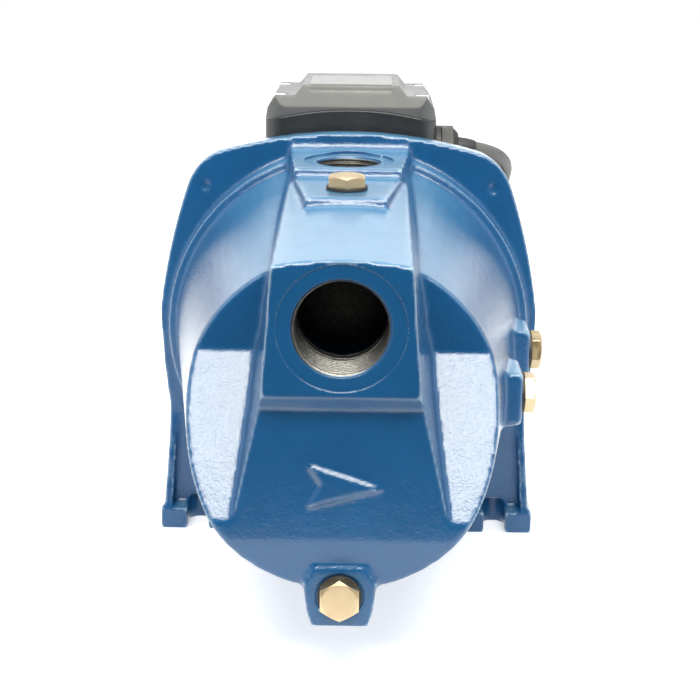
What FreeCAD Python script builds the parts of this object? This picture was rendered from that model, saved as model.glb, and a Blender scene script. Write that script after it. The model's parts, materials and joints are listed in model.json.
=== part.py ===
import FreeCAD, Part
import math
import os
import Sketcher

# Shallow well jet pump: a self-priming cast-iron casing with its ejector inside, close-coupled to a
# single-phase motor. Millimetres. X to the right seen from the suction side, Y from the suction port
# towards the motor, Z up. Lengths along the machine ("stations") are measured in the sheet from the
# suction face; the pieces are then shifted so that the origin lies under the middle of the machine.

V = FreeCAD.Vector
doc = FreeCAD.newDocument("jet_pump")
sheet = doc.addObject("Spreadsheet::Sheet", "dims")

DIMENSIONS = [
    # machine
    ("shaft_height", 115.0, "shaft centre above the feet"),
    ("suction_height", 168.0, "suction port centre above the feet"),
    ("pad_height", 210.6, "discharge pad above the feet"),
    ("ledge_height", 206.0, "priming ledge above the feet"),
    ("front_end", 0.0, "suction face station"),
    ("machine_length", 438.0, "suction face to the end of the fan cover"),
    # casing
    ("panel_at", 8.0, "front panel station"),
    ("facet_at", 56.0, "upper front facets station"),
    ("facet_ledge", 142.5, "height where the upper facets turn forward"),
    ("facet_tip", 79.0, "height where the lower facets meet the panel"),
    ("nose_radius", 64.9, "barrel radius at the panel"),
    ("nose_drop", 4.4, "how much lower the barrel's lower half is centred at the panel"),
    ("barrel_end", 190.0, "where the barrel cone ends"),
    ("barrel_radius", 92.0, "barrel radius at its end"),
    ("ring_radius", 96.5, "step ring at the flange"),
    ("flange_at", 195.0, "flange front face station"),
    ("flange_thick", 12.0, "casing flange thickness"),
    ("flange_half", 101.5, "half the flange's width"),
    ("wall", 7.0, "barrel wall thickness"),
    ("boss_foot", 131.0, "where the boss meets the panel"),
    ("boss_slope", 7.2, "rise of the boss's underside from the panel to its face"),
    ("crease_height", 71.0, "where the panel tilts back towards the chin"),
    ("chin_setback", 11.0, "how far back the chin would lie 20 mm above the floor"),
    ("foot_front", 184.0, "front of the feet"),
    ("foot_length", 64.0, "length of the feet"),
    ("foot_thick", 11.8, "foot plate thickness"),
    ("foot_outer", 103.0, "outer side of the feet from the middle"),
    ("foot_inner", 60.0, "inner side of the feet from the middle"),
    ("slot_spacing", 165.0, "foot slot to foot slot"),
    ("slot_width", 11.5, "foot slot width for an M10 bolt"),
    ("slot_length", 17.0, "foot slot depth from the front"),
    # ports: G1 1/4 suction, G1 discharge, G1/4 service plugs (thread major diameters)
    ("suction_bore", 41.91, "G1 1/4 thread major diameter"),
    ("suction_depth", 24.0, "suction thread depth"),
    ("passage_radius", 19.6, "opening from the suction thread into the chamber"),
    ("suction_face", 54.5, "suction spotface diameter"),
    ("discharge_bore", 33.25, "G1 thread major diameter"),
    ("discharge_at", 168.0, "discharge port station"),
    ("discharge_face", 45.0, "discharge spotface diameter"),
    ("spot_depth", 1.2, "spotface depth"),
    ("plug_thread", 13.16, "G1/4 thread major diameter"),
    ("plug_clear", 0.05, "radial running clearance of a plug's thread"),
    ("plug_depth", 12.0, "service thread depth"),
    ("plug_af", 17.0, "service plug across flats"),
    ("plug_head", 5.2, "service plug head height"),
    ("plug_shank", 9.0, "service plug shank length under the head"),
    ("washer_thick", 1.6, "sealing washer thickness"),
    ("washer_outer", 19.6, "sealing washer diameter"),
    ("priming_at", 109.0, "priming plug station"),
    ("drain_height", 44.3, "drain plug above the feet"),
    ("drain_face", 9.0, "drain boss face station"),
    ("boss_half", 12.6, "half the side of the gauge plugs' square bosses"),
    ("suction_gauge_at", 90.0, "suction-side gauge plug station"),
    ("suction_gauge_height", 113.0, "suction-side gauge plug height"),
    ("suction_gauge_face", 83.6, "its boss face from the middle"),
    ("pressure_gauge_at", 152.0, "pressure-side gauge plug station"),
    ("pressure_gauge_height", 116.0, "pressure-side gauge plug height"),
    ("pressure_gauge_face", 92.8, "its boss face from the middle"),
    # hydraulics
    ("register_radius", 90.0, "recess for the backing plate and the bracket spigot"),
    ("register_depth", 9.0, "depth of that recess"),
    ("nozzle_bore", 7.0, "ejector nozzle outlet diameter"),
    ("venturi_throat", 11.0, "venturi throat diameter"),
    ("impeller_at", 152.0, "impeller front station"),
    ("impeller_radius", 61.0, "impeller radius"),
    ("shaft_end_radius", 6.0, "shaft radius at the impeller"),
    ("seal_radius", 8.0, "shaft radius at the mechanical seal"),
    ("bearing_bore", 17.0, "bearing 6203 bore"),
    ("bearing_outer", 40.0, "bearing 6203 outer diameter"),
    ("bearing_width", 12.0, "bearing 6203 width"),
    # bracket and motor
    ("bracket_end", 240.0, "bracket to motor housing joint"),
    ("bolt_offset", 76.0, "flange bolts either side of the shaft, across and up"),
    ("bolt_radius", 4.0, "M8 flange bolt"),
    ("ear_radius", 8.0, "rounding of the bracket plate around each bolt"),
    ("housing_end", 370.0, "motor housing to rear shield joint"),
    ("housing_bore", 56.0, "motor housing inner radius"),
    ("housing_wall", 4.5, "motor housing wall"),
    ("fin_radius", 71.0, "fin tip radius"),
    ("fin_thick", 2.2, "fin thickness"),
    ("fin_count", 36.0, "fins around the housing"),
    ("rod_circle", 66.0, "tie rods' distance from the shaft"),
    ("rod_radius", 2.5, "M5 tie rod"),
    ("rotor_radius", 31.0, "rotor core radius"),
    ("air_gap", 0.4, "rotor to stator gap"),
    ("core_at", 268.0, "rotor and stator core front station"),
    ("core_length", 72.0, "core stack length"),
    ("shield_end", 384.0, "rear shield rear face"),
    ("fan_at", 394.0, "fan front station"),
    ("fan_radius", 59.0, "fan radius"),
    ("cover_at", 374.0, "fan cover front edge"),
    ("cover_radius", 72.0, "fan cover radius"),
    ("sheet_thick", 1.6, "fan cover thickness"),
    # terminal box
    ("box_front", 219.5, "terminal box front station"),
    ("box_length", 66.0, "terminal box length"),
    ("box_half", 46.5, "half the terminal box's width at its foot"),
    ("box_corner", 11.0, "rounding of the box's corners seen from above"),
    ("box_foot", 189.0, "underside of the terminal box"),
    ("box_seam", 222.0, "seam at the box's sides"),
    ("box_shelf", 236.0, "top of the cover's screw shelves"),
    ("box_top", 241.5, "top of the cover"),
    ("gland_at", 240.0, "cable gland station"),
    ("gland_height", 207.0, "cable gland height"),
    ("cord_diameter", 7.5, "power cord diameter"),
    ("relief_length", 20.0, "tapered strain relief at the gland"),
    ("coil_at", 495.0, "centre station of the stored coil"),
    ("coil_radius", 38.0, "mean radius of the stored coil's turns"),
    ("coil_pitch", 7.6, "spacing of the coil's turns and layers"),
    ("coil_turns", 4.25, "turns in the coil: two spiral in on the floor, the rest spiral out on top"),
    ("plug_radius", 17.0, "mains plug radius"),
    ("plug_length", 38.0, "mains plug body length"),
]

for row, (alias, size, meaning) in enumerate(DIMENSIONS, start=1):
    sheet.set(f"A{row}", meaning)
    sheet.set(f"B{row}", str(size))
    sheet.setAlias(f"B{row}", alias)
doc.recompute()


def value(expression):
    """The number that an expression over the sheet's cells gives."""
    return float(sheet.evalExpression(str(expression)))


HALF = value("machine_length / 2")
SHAFT_Z = value("shaft_height")
ALONG_Y = FreeCAD.Rotation(V(1, 0, 0), -90)      # local Z to +Y
AGAINST_Y = FreeCAD.Rotation(V(1, 0, 0), 90)     # local Z to -Y
ALONG_X = FreeCAD.Rotation(V(0, 1, 0), 90)       # local Z to +X
UPRIGHT = FreeCAD.Rotation()
pieces = []


def bound(expression):
    """An expression over the sheet, as an object outside the sheet writes it."""
    text = str(expression)
    for alias, _, _ in sorted(DIMENSIONS, key=lambda d: -len(d[0])):
        parts = text.split(alias)
        rebuilt = parts[0]
        for part in parts[1:]:
            before = rebuilt[-1:] if rebuilt else " "
            own = not (before.isalnum() or before in "_.") and not (part[:1].isalnum() or part[:1] == "_")
            rebuilt += ("dims." + alias if own else alias) + part
        text = rebuilt
    return text


def body(name, at=(0, 0, 0), turn=UPRIGHT):
    """A new Body: at is (x, station, height) of its own origin in the machine."""
    new = doc.addObject("PartDesign::Body", name)
    new.Label = name
    new.AllowCompound = True
    x, station, height = (value(v) for v in at)
    new.Placement = FreeCAD.Placement(V(x, station - HALF, height), turn)
    pieces.append(new)
    return new


def sketch(owner, plane="XY_Plane", offset=0):
    """A sketch on one of the body's own origin planes, offset along that plane's normal."""
    new = owner.newObject("Sketcher::SketchObject", owner.Name + "_sketch")
    origin_plane = [f for f in owner.Origin.OriginFeatures if f.Role == plane][0]
    new.AttachmentSupport = (origin_plane, "")
    new.MapMode = "FlatFace"
    new.setExpression("AttachmentOffset.Base.z", bound(offset))
    return new


def pin_distance(drawn, kind, geometry, position, size):
    """Fixes one coordinate of a point of a sketch, bound to the sheet."""
    if abs(value(size)) < 1e-9:
        axis = -2 if kind == "DistanceX" else -1
        drawn.addConstraint(Sketcher.Constraint("PointOnObject", geometry, position, axis))
        return
    new = drawn.addConstraint(Sketcher.Constraint(kind, -1, 1, geometry, position, value(size)))
    drawn.setExpression(f"Constraints[{new}]", bound(size))


def pin_point(drawn, geometry, position, x, y):
    pin_distance(drawn, "DistanceX", geometry, position, x)
    pin_distance(drawn, "DistanceY", geometry, position, y)


def outline(drawn, corners):
    """A closed outline. A corner is (x, y), or (x, y, radius) where the edge that leaves it is an arc of
    that radius: positive bulges to the left of the way the outline runs, negative to the right."""
    first = len(drawn.Geometry)
    spots = [V(value(c[0]), value(c[1]), 0) for c in corners]
    starts = []
    for i, corner in enumerate(corners):
        begin, end = spots[i], spots[(i + 1) % len(spots)]
        if len(corner) == 2:
            drawn.addGeometry(Part.LineSegment(begin, end))
            starts.append((1, 2))
            continue
        radius = value(corner[2])
        chord = end - begin
        rise = abs(radius) - math.sqrt(max(0, radius ** 2 - chord.Length ** 2 / 4))
        side = V(-chord.y, chord.x, 0).normalize() * math.copysign(rise, radius)
        number = drawn.addGeometry(Part.Arc(begin, (begin + end) / 2 + side, end))
        forward = (drawn.getPoint(number, 1) - begin).Length < (drawn.getPoint(number, 2) - begin).Length
        starts.append((1, 2) if forward else (2, 1))
    for i, corner in enumerate(corners):
        after = (i + 1) % len(corners)
        drawn.addConstraint(Sketcher.Constraint(
            "Coincident", first + i, starts[i][1], first + after, starts[after][0]))
        pin_point(drawn, first + i, starts[i][0], corner[0], corner[1])
        chord = spots[after] - spots[i]
        if len(corner) == 3 and chord.Length > 1.9999 * abs(value(corner[2])):
            flat = abs(chord.y) < abs(chord.x)
            pin_distance(drawn, "DistanceY" if flat else "DistanceX", first + i, 3, corner[1 if flat else 0])
        elif len(corner) == 3:
            radius = corner[2] if value(corner[2]) > 0 else f"-1 * ({corner[2]})"
            new = drawn.addConstraint(Sketcher.Constraint("Radius", first + i, value(radius)))
            drawn.setExpression(f"Constraints[{new}]", bound(radius))


def circle(drawn, x, y, radius):
    number = drawn.addGeometry(Part.Circle(V(value(x), value(y), 0), V(0, 0, 1), value(radius)))
    pin_point(drawn, number, 3, x, y)
    new = drawn.addConstraint(Sketcher.Constraint("Radius", number, value(radius)))
    drawn.setExpression(f"Constraints[{new}]", bound(radius))


def settled(new):
    """Recomputes and stops at a feature that failed."""
    doc.recompute()
    if "Invalid" in new.State or "Error" in new.State or new.Shape.isNull() or not new.Shape.isValid():
        raise RuntimeError(f"{new.Name}: {new.State} {new.getStatusString()}")
    return new


def feature(owner, kind, profile, name=""):
    new = owner.newObject("PartDesign::" + kind, owner.Name + "_" + kind.lower() + name)
    new.Profile = profile
    return new


def pad(owner, profile, length, back=False, taper=None):
    """Adds a prism on a sketch, along the sketch's normal, or against it if back."""
    new = feature(owner, "Pad", profile)
    new.setExpression("Length", bound(length))
    new.Reversed = back
    if taper is not None:
        new.setExpression("TaperAngle", bound(taper))
    return settled(new)


def pocket(owner, profile, length, back=False):
    """Cuts a prism against the sketch's normal, or along it if back. It has to remove something."""
    before = owner.Shape.Volume
    new = feature(owner, "Pocket", profile)
    new.setExpression("Length", bound(length))
    new.Reversed = back
    settled(new)
    if not owner.Shape.Volume < before - 0.01:
        raise RuntimeError(f"{new.Name} cuts nothing")
    return new


def loft(owner, profiles, cut=False):
    new = feature(owner, "SubtractiveLoft" if cut else "AdditiveLoft", profiles[0])
    new.Sections = profiles[1:]
    new.Ruled = True
    return settled(new)


def turned(owner, corners, cut=False):
    """A shape of revolution about the body's local Z: corners are (radius, height along Z)."""
    profile = sketch(owner, "XZ_Plane")
    outline(profile, corners)
    new = feature(owner, "Groove" if cut else "Revolution", profile)
    new.ReferenceAxis = (profile, ["V_Axis"])
    new.Angle = 360
    return settled(new)


def repeat(owner, original, count, axis_of):
    """Repeats a feature around the V axis of its sketch or the body's Z."""
    new = owner.newObject("PartDesign::PolarPattern", owner.Name + "_pattern")
    new.Originals = [original]
    new.Axis = axis_of
    new.Angle = 360
    new.Occurrences = int(value(count))
    owner.Tip = new
    doc.recompute()
    return new


def z_axis(owner):
    return ([f for f in owner.Origin.OriginFeatures if f.Role == "Z_Axis"][0], [""])


def ring(name, at, turn, inner, outer, length):
    """A plain ring or bush standing on its own origin."""
    new = body(name, at, turn)
    turned(new, [(inner, 0), (outer, 0), (outer, length), (inner, length)])
    return new


def o_ring(name, station, radius, section):
    """A rubber ring of round section around the shaft line."""
    new = body(name, (0, "front_end", "shaft_height"), ALONG_Y)
    profile = sketch(new, "XZ_Plane")
    circle(profile, radius, station, section)
    made = feature(new, "Revolution", profile)
    made.ReferenceAxis = (profile, ["V_Axis"])
    made.Angle = 360
    settled(made)


def on_shaft(name, corners):
    """A piece turned about the shaft line: corners are (radius, station)."""
    new = body(name, (0, "front_end", "shaft_height"), ALONG_Y)
    turned(new, corners)
    return new


def hexagon(drawn, x, y, half_flat):
    """A hexagon with a corner up (towards the sketch's +y); half_flat is half its width across flats."""
    side, tip = f"({half_flat})", f"({half_flat}) * 1.1547"
    outline(drawn, [
        (x, f"{y} + {tip}"), (f"{x} + {side}", f"{y} + {tip} / 2"), (f"{x} + {side}", f"{y} - {tip} / 2"),
        (x, f"{y} - {tip}"), (f"{x} - {side}", f"{y} - {tip} / 2"), (f"{x} - {side}", f"{y} + {tip} / 2")])


def screws(name, at, turn, centres, radius, length, head, head_height, hexagonal=False):
    """A set of like screws in one node: heads stand on local z = 0, shanks point to -z."""
    new = body(name, at, turn)
    heads = sketch(new)
    for x, y in centres:
        if hexagonal:
            hexagon(heads, x, y, head)
        else:
            circle(heads, x, y, head)
    pad(new, heads, head_height)
    shanks = sketch(new)
    for x, y in centres:
        circle(shanks, x, y, radius)
    pad(new, shanks, length, back=True)
    return new


def mirrored(corners):
    """Right-hand outline points (x >= 0, from the top down) closed by their mirror image."""
    left = [(f"-1 * ({c[0]})", c[1]) for c in reversed(corners)]
    return list(corners) + left


# ---------------------------------------------------------------------------------- pump body

def pump_body():
    """The casing. Its sketches across the machine lie on XZ, whose normal is -Y: a station s is the
    offset -s, and a pad with back=True runs towards the motor."""
    casing = body("pump_body")

    def across(station):
        return sketch(casing, "XZ_Plane", f"-1 * ({station})")

    def barrel_section(station, radius, drop):
        """Two half circles, the lower one centred lower, joined by short flanks."""
        section = across(station)
        lower = f"shaft_height - ({drop})"
        outline(section, [
            (f"-1 * ({radius})", "shaft_height", radius), (radius, "shaft_height"),
            (radius, lower, radius), (f"-1 * ({radius})", lower)])
        return section

    # barrel cone, step ring and flange
    loft(casing, [barrel_section("panel_at", "nose_radius", "nose_drop"),
                  barrel_section("barrel_end", "barrel_radius", "0.4")])
    step = across("barrel_end - 3")
    circle(step, 0, "shaft_height", "ring_radius")
    pad(casing, step, "flange_at - barrel_end + 3", back=True)
    plate = across("flange_at")
    outline(plate, [
        (-69, 209.5, 245), (69, 209.5, 30), (85.5, 192, 330),
        ("flange_half", 125, 400), (97.6, 68), ("flange_half", 0),
        ("foot_inner", 0), ("foot_inner - 8", 13), ("8 - foot_inner", 13), ("-1 * foot_inner", 0),
        ("-1 * flange_half", 0), (-97.6, 68, 400), ("-1 * flange_half", 125, 330), (-85.5, 192, 30)])
    pad(casing, plate, "flange_thick", back=True)

    # the barrel is cut back either side of the column: upright above, sloping forward below
    facets = sketch(casing, "YZ_Plane", "-1 * flange_half")
    outline(facets, [
        (-20, 240), ("facet_at", 240), ("facet_at", "facet_ledge"), ("panel_at", "facet_tip"),
        (-20, "facet_tip")])
    pocket(casing, facets, "2 * flange_half", back=True)

    # column: boss around the suction port, and the panel under it, both wider towards the back
    def column_section(station, top, shoulder, sides):
        section = across(station)
        right = [(sides[0], shoulder)] + sides[1]
        outline(section, [(f"-1 * ({sides[0]})", shoulder, top)] + right
                + [(f"-1 * ({x})", z) for x, z in reversed(right[1:])])
        return section

    loft(casing, [
        column_section("front_end", 160, 194.0, (29.2, [(31.3, 165), (34.3, "boss_foot")])),
        column_section("barrel_end", 160, 205.6, (29.5, [(44, 170), (50.7, "boss_foot")]))])
    panel_front, panel_back = across("panel_at"), across("facet_at + 4")
    outline(panel_front, [(-33.3, 139), (33.3, 139), (47.9, 75.5), (-47.9, 75.5)])
    outline(panel_back, [(-38.5, 150), (38.5, 150), (52, 75.5), (-52, 75.5)])
    loft(casing, [panel_front, panel_back])

    # the boss overhangs the panel with a sloping underside
    underside = sketch(casing, "YZ_Plane", "-1 * flange_half")
    outline(underside, [(-1, "boss_foot + boss_slope + 1"), ("panel_at", "boss_foot"),
                        ("panel_at", "boss_foot - 3"), (-1, "boss_foot - 3")])
    pocket(casing, underside, "2 * flange_half", back=True)

    # chin: the panel tilts back under the crease
    chin = sketch(casing, "YZ_Plane", "-1 * flange_half")
    outline(chin, [("panel_at - 3", "crease_height"), ("panel_at", "crease_height"),
                   ("panel_at + chin_setback", 20), ("panel_at - 3", 20)])
    pocket(casing, chin, "2 * flange_half", back=True)

    # drain boss
    shield = across("drain_face")
    outline(shield, mirrored([(11.6, 57.2), (16.3, 50), (14.6, 36), (12.4, 29.4)]))
    pad(casing, shield, 45, back=True)

    # discharge block in two steps, its sides leaning outwards on the way down
    def block(height, depth, corners):
        top = sketch(casing, "XY_Plane", height)
        outline(top, mirrored(corners))
        pad(casing, top, depth, back=True, taper=6)

    block("ledge_height", 22, [(18.6, 87), (26.2, 139)])
    block("pad_height", 26, [(26.2, 139), (31.6, "flange_at + 1")])
    fillet = sketch(casing, "YZ_Plane", -31)
    outline(fillet, [("flange_at - 4.5", "pad_height - 0.5"), ("flange_at + 1", "pad_height - 0.5"),
                     ("flange_at + 1", "pad_height + 6"), ("flange_at", "pad_height + 6", 6)])
    pad(casing, fillet, 62)

    # bosses for the gauge plugs, on the right
    for station, height, face in (
            ("suction_gauge_at", "suction_gauge_height", "suction_gauge_face"),
            ("pressure_gauge_at", "pressure_gauge_height", "pressure_gauge_face")):
        boss = sketch(casing, "YZ_Plane", face)
        low, high = f"{height} - boss_half", f"{height} + boss_half"
        near, far = f"{station} - boss_half", f"{station} + boss_half"
        outline(boss, [(near, low), (far, low), (far, high), (near, high)])
        pad(casing, boss, 26, back=True, taper=5)

    # feet with their outer gussets
    for side in (1, -1):
        foot = sketch(casing, "XY_Plane", 0)
        outer, inner = f"{side} * foot_outer", f"{side} * foot_inner"
        outline(foot, [(inner, "foot_front"), (outer, "foot_front"),
                       (outer, "foot_front + foot_length"), (inner, "foot_front + foot_length")])
        pad(casing, foot, "foot_thick")
        wing = across("flange_at + 2")
        outline(wing, [(f"{side} * 93.4", 64), (f"{side} * 97.4", 64),
                       (f"{side} * (flange_half - 0.2)", 8), (f"{side} * (flange_half - 4.6)", 8)])
        pad(casing, wing, "flange_at + 1.5 - foot_front")
        slope = sketch(casing, "YZ_Plane", "88" if side > 0 else "-1 * flange_half - 2")
        outline(slope, [("foot_front + 0.3", "foot_thick"), ("flange_at", 64), ("flange_at", 68),
                        ("foot_front - 2", 68), ("foot_front - 2", "foot_thick")])
        pocket(casing, slope, "flange_half - 86", back=True)
        rear_web = sketch(casing, "YZ_Plane", "88.5" if side > 0 else "-96.5")
        outline(rear_web, [("flange_at + flange_thick - 2", 8), ("foot_front + foot_length - 6", 8),
                           ("flange_at + flange_thick - 2", 50)])
        pad(casing, rear_web, 8)
    slots = sketch(casing, "XY_Plane", 0)
    for side in (1, -1):
        centre, half = f"{side} * slot_spacing / 2", "slot_width / 2"
        end = "foot_front + slot_length - slot_width / 2"
        outline(slots, [(f"{centre} - {half}", "foot_front - 1"), (f"{centre} - {half}", end, half),
                        (f"{centre} + {half}", end), (f"{centre} + {half}", "foot_front - 1")])
    pocket(casing, slots, "foot_thick + 4", back=True)

    # raised flow arrow on the panel
    arrow = across("panel_at - 2.2")
    outline(arrow, [(-13.6, 105.6), (17, 95.4), (-13.6, 87), (-8, 97)])
    pad(casing, arrow, 4.6, back=True)

    # chambers: the main one behind the facets, and the lower front passage
    main_front, main_back = across(64), across("flange_at + 5")
    circle(main_front, 0, "shaft_height", "nose_radius + 0.15 * 56 - wall")
    circle(main_back, 0, "shaft_height", "barrel_radius + 1 - wall")
    loft(casing, [main_front, main_back], cut=True)
    passage_front, passage_back = across(15), across(66)
    circle(passage_front, 0, 84, 29)
    circle(passage_back, 0, 108, 57)
    loft(casing, [passage_front, passage_back], cut=True)

    # suction chamber: a box behind the suction port that the ejector passes through
    chamber_walls = across(26)
    outline(chamber_walls, [(-28, 90), (28, 90), (28, 190), (-28, 190)])
    pad(casing, chamber_walls, 42, back=True)
    chamber = across(31.5)
    outline(chamber, [(-22.5, 97), (22.5, 97), (22.5, 186), (-22.5, 186)])
    pocket(casing, chamber, 30.5, back=False)
    for station, radius, depth in ((25, 9, 8), (60, 13, 10)):
        guide = across(station)
        circle(guide, 0, "shaft_height", radius)
        pocket(casing, guide, depth, back=False)

    # ports
    def port(station, radius, depth, height="suction_height"):
        hole = across(station)
        circle(hole, 0, height, radius)
        pocket(casing, hole, depth, back=False)

    port("front_end", "suction_face / 2", "spot_depth / 4")
    port("front_end", "suction_bore / 2", "suction_depth")
    port("suction_depth - 1", "passage_radius", 10)
    port("drain_face - 0.2", 10.6, "spot_depth / 2 + 0.2", "drain_height")
    port("drain_face", "plug_thread / 2", "plug_depth", "drain_height")
    port("drain_face + plug_depth - 1", 4.5, 60, "drain_height + 1.5")

    def drilled(plane, offset, x, y, radius, depth):
        hole = sketch(casing, plane, offset)
        circle(hole, x, y, radius)
        pocket(casing, hole, depth)

    drilled("XY_Plane", "pad_height", 0, "discharge_at", "discharge_face / 2", "spot_depth")
    drilled("XY_Plane", "pad_height", 0, "discharge_at", "discharge_bore / 2", 26)
    drilled("XY_Plane", "ledge_height", 0, "priming_at", "plug_thread / 2", 24)
    for station, height, face in (
            ("suction_gauge_at", "suction_gauge_height", "suction_gauge_face"),
            ("pressure_gauge_at", "pressure_gauge_height", "pressure_gauge_face")):
        drilled("YZ_Plane", face, station, height, "plug_thread / 2", 26)

    # register for the backing plate and the bracket, and the tapped bolt holes
    register = across("flange_at + flange_thick - register_depth")
    circle(register, 0, "shaft_height", "register_radius")
    pocket(casing, register, "register_depth + 1", back=False)
    tapped = across("flange_at + 2.5")
    dimples = across("flange_at - 0.5")
    for x in ("bolt_offset", "-1 * bolt_offset"):
        for z in ("shaft_height + bolt_offset", "shaft_height - bolt_offset"):
            circle(tapped, x, z, "bolt_radius")
        circle(dimples, x, "shaft_height + bolt_offset", 2.8)
    pocket(casing, tapped, "flange_thick", back=False)
    pocket(casing, dimples, 1.6, back=False)
    return casing


# ------------------------------------------------------------------------------ service plugs

def service_plug(name, washer_name, at, turn, twist=0.0):
    """A brass G1/4 hexagon plug on its sealing washer, at a boss face, pointing out of it."""
    turn = turn.multiply(FreeCAD.Rotation(V(0, 0, 1), twist))
    ring(washer_name, at, turn, "plug_thread / 2 + 0.1", "washer_outer / 2", "washer_thick")
    plug = body(name, at, turn)
    head = sketch(plug, offset="washer_thick")
    hexagon(head, 0, 0, "plug_af / 2")
    pad(plug, head, "plug_head")
    shank = sketch(plug, offset="washer_thick")
    circle(shank, 0, 0, "plug_thread / 2 - plug_clear")
    pad(plug, shank, "washer_thick + plug_shank", back=True)
    top = "washer_thick + plug_head"
    turned(plug, [("plug_af / 2 - 0.6", top), ("plug_af / 2 - 0.6", f"{top} + 1"), (13, f"{top} + 1"),
                  (13, f"{top} - 2.9")], cut=True)


# ----------------------------------------------------------------------------- hydraulic parts

def hydraulics():
    """Ejector, impeller, diffuser and seal, from the suction chamber to the bracket."""
    on_shaft("ejector_nozzle", [
        ("nozzle_bore / 2", 46), ("nozzle_bore / 2 + 2.5", 46), (8, 34), (12, 34), (12, 31.6), (8.95, 31.6),
        (8.95, 25), (7, 25), (5.5, 30)])
    on_shaft("venturi_tube", [
        (9.5, 50), (12.9, 52), (12.9, 72), ("venturi_throat / 2 + 3", 76), ("venturi_throat / 2 + 3", 84),
        (14.4, "impeller_at - 14"), (14.4, "impeller_at - 1.5"), (11.5, "impeller_at - 1.5"),
        ("venturi_throat / 2", 84), ("venturi_throat / 2", 68)])
    o_ring("venturi_oring", 71.3, 14.25, 1.3)
    on_shaft("diffuser", [
        (14.5, "impeller_at - 20"), (18, "impeller_at - 20"), (20, "impeller_at - 8"),
        (68, "impeller_at - 5"), (71, "impeller_at - 2"), (71, "impeller_at + 24"),
        (67.5, "impeller_at + 24"), (67.5, "impeller_at - 1"), (20, "impeller_at - 4"),
        (17.4, "impeller_at - 2"), (14.5, "impeller_at - 2")])
    wheel = on_shaft("impeller", [
        ("shaft_end_radius + 0.02", "impeller_at + 6"), (10, "impeller_at + 6"), (13, "impeller_at + 11"),
        ("impeller_radius", "impeller_at + 13"), ("impeller_radius", "impeller_at + 16"),
        (14, "impeller_at + 16"), (14, "impeller_at + 19"), ("shaft_end_radius + 0.02", "impeller_at + 19")])
    turned(wheel, [
        (17, "impeller_at"), (19.4, "impeller_at"), (19.4, "impeller_at + 4"),
        ("impeller_radius", "impeller_at + 7"), ("impeller_radius", "impeller_at + 9"),
        (19, "impeller_at + 6.5"), (17, "impeller_at + 5")])
    vane = sketch(wheel, offset="impeller_at + 5.5")
    outline(vane, [(18, 0, 40), ("impeller_radius - 9", -27), ("impeller_radius - 8", -25, -42), (18, 2.4)])
    blade = pad(wheel, vane, 8.5)
    repeat(wheel, blade, 6, z_axis(wheel))
    on_shaft("impeller_nut", [
        ("shaft_end_radius - 0.95", "impeller_at - 0.5"), (9, "impeller_at - 0.5"), (10, "impeller_at + 1"),
        (10, "impeller_at + 5.95"), ("shaft_end_radius - 0.95", "impeller_at + 5.95")])
    key = body("impeller_key", (0, "impeller_at + 8", "shaft_height"), ALONG_Y)
    slot = sketch(key)
    outline(slot, [(-1.5, -7.4), (1.5, -7.4), (1.5, -4.6), (-1.5, -4.6)])
    pad(key, slot, 9)
    on_shaft("seal_rotor", [
        ("seal_radius + 0.02", 176), (15, 176), (16, 178), (16, 181), (14, 181.2), (14, 186), (15.5, 186.2),
        (15.5, 190), (10.5, 190), (10.5, 192), (9, 192), (9, 188), ("seal_radius + 0.02", 187)])
    rings = body("seal_spring", (0, "front_end", "shaft_height"), ALONG_Y)
    coils = sketch(rings, "XZ_Plane")
    for station in (182.2, 183.6, 185):
        circle(coils, 14.75, station, 0.6)
    wound = feature(rings, "Revolution", coils)
    wound.ReferenceAxis = (coils, ["V_Axis"])
    wound.Angle = 360
    settled(wound)
    on_shaft("seal_seat", [(8.6, 192), (13, 192), (13, 194), (15, 194), (15, 200), (8.6, 200)])
    on_shaft("backing_plate", [
        (15.1, 194), (18, 194), (18, 196.6), (72, 196.6), (76, 198.1), ("register_radius - 0.1", 198.1),
        ("register_radius - 0.1", 200.1), (74, 200.1), (70, 198.6), (19, 198.6), (19, 202), (11, 202),
        (11, 200.1), (15.1, 200.1)])
    o_ring("body_oring", 201.9, "register_radius - 2.2", 1.75)


# ------------------------------------------------------------------------ bracket, shaft, motor

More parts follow.
